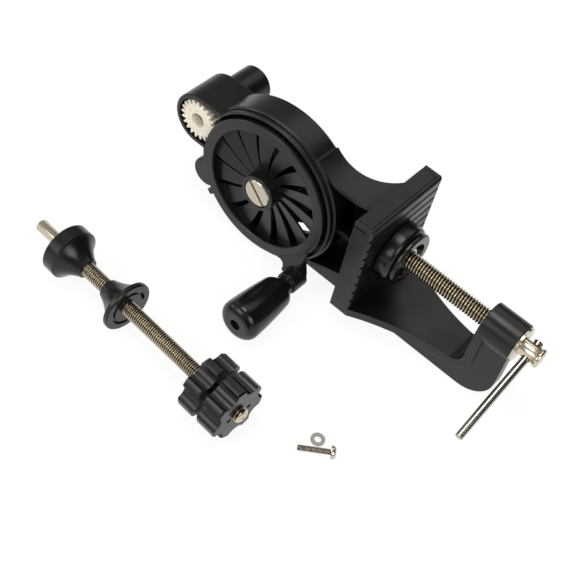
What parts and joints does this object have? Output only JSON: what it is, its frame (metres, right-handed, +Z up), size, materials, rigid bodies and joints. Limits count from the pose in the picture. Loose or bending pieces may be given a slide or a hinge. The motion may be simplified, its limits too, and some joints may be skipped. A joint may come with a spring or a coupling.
{
  "type": "fishing line winder",
  "caption": "Hand-cranked fishing line winder with a table clamp, lying on its side with its winding spindle, cones and lock nuts laid out beside it.",
  "frame": {"origin": "centre of the set's footprint, on the surface that it lies on", "axes": "+X from the wheel towards the clamp's screw head, +Y along the wheel's axle from the crank side to the back, +Z up from the surface"},
  "size_m": [0.2896, 0.1966, 0.109],
  "materials": {
    "frame_plastic": "black moulded plastic, satin",
    "wheel_plastic": "black moulded plastic, satin",
    "knob_plastic": "black moulded plastic, semi-gloss",
    "pad_plastic": "black moulded plastic, semi-gloss",
    "cone_plastic": "black moulded plastic, satin",
    "nut_plastic": "black moulded plastic, satin",
    "bush_plastic": "dark grey acetal",
    "boot_rubber": "black moulded rubber",
    "white_nylon": "natural white nylon",
    "grey_steel": "turned steel",
    "plated_steel": "nickel-plated steel, slightly warm",
    "bright_steel": "bright nickel plate"
  },
  "bodies": {
    "frame": {"main_body": "frame_plastic", "jaw_pad": "boot_rubber", "front_bush": "bush_plastic", "rear_bush": "bush_plastic", "clamp_nut": "plated_steel", "axle_screw": "plated_steel", "axle_sleeve": "plated_steel", "axle_washer": "plated_steel", "axle_nut": "plated_steel"},
    "crank": {"crank_wheel": "wheel_plastic", "knob_pin": "plated_steel", "knob_washer": "plated_steel"},
    "knob": {"knob": "knob_plastic"},
    "pinion": {"pinion": "white_nylon", "drive_shaft": "grey_steel"},
    "pad": {"clamp_pad": "pad_plastic", "pad_collar": "bright_steel"},
    "screw": {"clamp_screw": "plated_steel"},
    "bar": {"tommy_bar": "bright_steel"},
    "spindle": {"spindle_rod": "plated_steel", "fixed_cone": "cone_plastic"},
    "cone": {"sliding_cone": "cone_plastic"},
    "inner_nut": {"inner_star_nut": "nut_plastic"},
    "outer_nut": {"outer_star_nut": "nut_plastic"},
    "fixing_screw": {"retaining_screw": "plated_steel"},
    "fixing_washer": {"retaining_washer": "bright_steel"}
  },
  "joints": [
    {"name": "crank_spin", "type": "hinge", "parent": "frame", "child": "crank", "pos_m": [-0.05374, 0.03225, 0.05452], "axis": [0, -1, 0], "continuous": true},
    {"name": "knob_spin", "type": "hinge", "parent": "crank", "child": "knob", "pos_m": [-0.01044, 0.01635, 0.014], "axis": [0, -1, 0], "continuous": true},
    {"name": "pinion_spin", "type": "hinge", "parent": "frame", "child": "pinion", "pos_m": [-0.11352, 0.03525, 0.06788], "axis": [0, -1, 0], "continuous": true},
    {"name": "pad_travel", "type": "slide", "parent": "frame", "child": "pad", "axis": [1, 0, 0], "range_m": [0, 0.05001]},
    {"name": "clamp_screw_turn", "type": "hinge", "parent": "pad", "child": "screw", "pos_m": [0.04576, 0.06125, 0.05452], "axis": [1, 0, 0], "range_deg": [0, 9000]},
    {"name": "tommy_bar_slide", "type": "slide", "parent": "screw", "child": "bar", "axis": [0, 0.9245, 0.3811], "range_m": [0, 0.056]},
    {"name": "spindle_lift", "type": "slide", "parent": "frame", "child": "spindle", "axis": [0, 0, 1], "range_m": [0, 0.05]},
    {"name": "cone_slide", "type": "slide", "parent": "spindle", "child": "cone", "axis": [0.9979, -0.0628, 0.014], "range_m": [-0.017, 0.018]},
    {"name": "inner_nut_travel", "type": "slide", "parent": "spindle", "child": "inner_nut", "axis": [0.9979, -0.0628, 0.014], "range_m": [-0.045, 0]},
    {"name": "outer_nut_travel", "type": "slide", "parent": "inner_nut", "child": "outer_nut", "axis": [0.9979, -0.0628, 0.014], "range_m": [0, 0.006]},
    {"name": "fixing_screw_lift", "type": "slide", "parent": "frame", "child": "fixing_screw", "axis": [0, 0, 1], "range_m": [0, 0.03]},
    {"name": "fixing_washer_lift", "type": "slide", "parent": "frame", "child": "fixing_washer", "axis": [0, 0, 1], "range_m": [0, 0.03]}
  ],
  "couplings": [
    {"joint": "pinion_spin", "follows": "crank_spin", "ratio": -3.6667},
    {"joint": "pad_travel", "follows": "clamp_screw_turn", "m_per_rad": 0.00031831}
  ]
}
